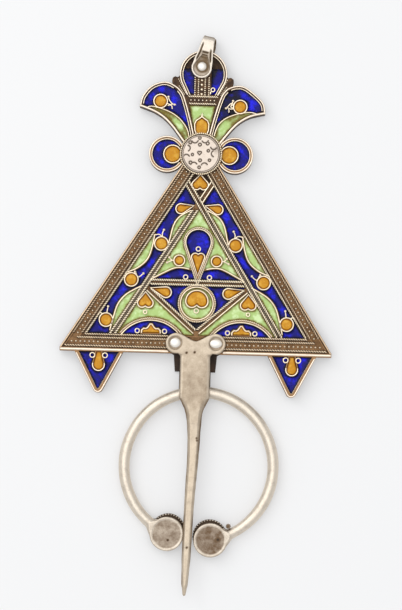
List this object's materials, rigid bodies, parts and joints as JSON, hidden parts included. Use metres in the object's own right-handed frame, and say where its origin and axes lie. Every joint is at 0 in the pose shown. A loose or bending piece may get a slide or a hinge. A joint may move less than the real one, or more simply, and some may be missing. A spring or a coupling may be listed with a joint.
{
  "type": "fibula brooch",
  "caption": "Open-ring fibula brooch: a triangular silver plate with enamelled cells, a long pin riveted to its base, a turning penannular ring and a riveted hanging bail.",
  "frame": {"origin": "middle of the keeper's flat back, which lies on the surface", "axes": "+X to the right seen from the front, +Y along the brooch towards the bail, +Z out of the enamelled face"},
  "size_m": [0.0776, 0.1605, 0.0064],
  "materials": {
    "silver": "worn silver with brown tarnish in the hollows",
    "engraved_silver": "punched and worn",
    "pin_silver": "dull, warm tarnish",
    "ring_silver": "satin, worn by handling",
    "rivet_silver": "polished",
    "bail_silver": "bright and worn",
    "back_silver": "dark tarnish",
    "blue_glass": "fused, slightly pitted",
    "green_glass": "fused, cloudy",
    "amber_glass": "fused, cloudy"
  },
  "bodies": {
    "brooch": {"pediment": "silver", "enamel_blue": "blue_glass", "enamel_green": "green_glass", "enamel_amber": "amber_glass", "medallion": "engraved_silver", "pin": "pin_silver", "pin_rivet_left": "rivet_silver", "pin_rivet_right": "rivet_silver", "keeper": "back_silver", "bail_rivet": "rivet_silver"},
    "ring_body": {"ring": "ring_silver"},
    "bail_body": {"bail": "bail_silver"}
  },
  "joints": [
    {"name": "ring_turn", "type": "hinge", "parent": "brooch", "child": "ring_body", "pos_m": [0.0018, -0.0283, 0.00245], "axis": [0, 0, 1], "range_deg": [-120, 140]},
    {"name": "bail_swivel", "type": "hinge", "parent": "brooch", "child": "bail_body", "pos_m": [-0.0004, 0.086, 0.0026], "axis": [0, 0, 1], "range_deg": [-58, 83]}
  ]
}
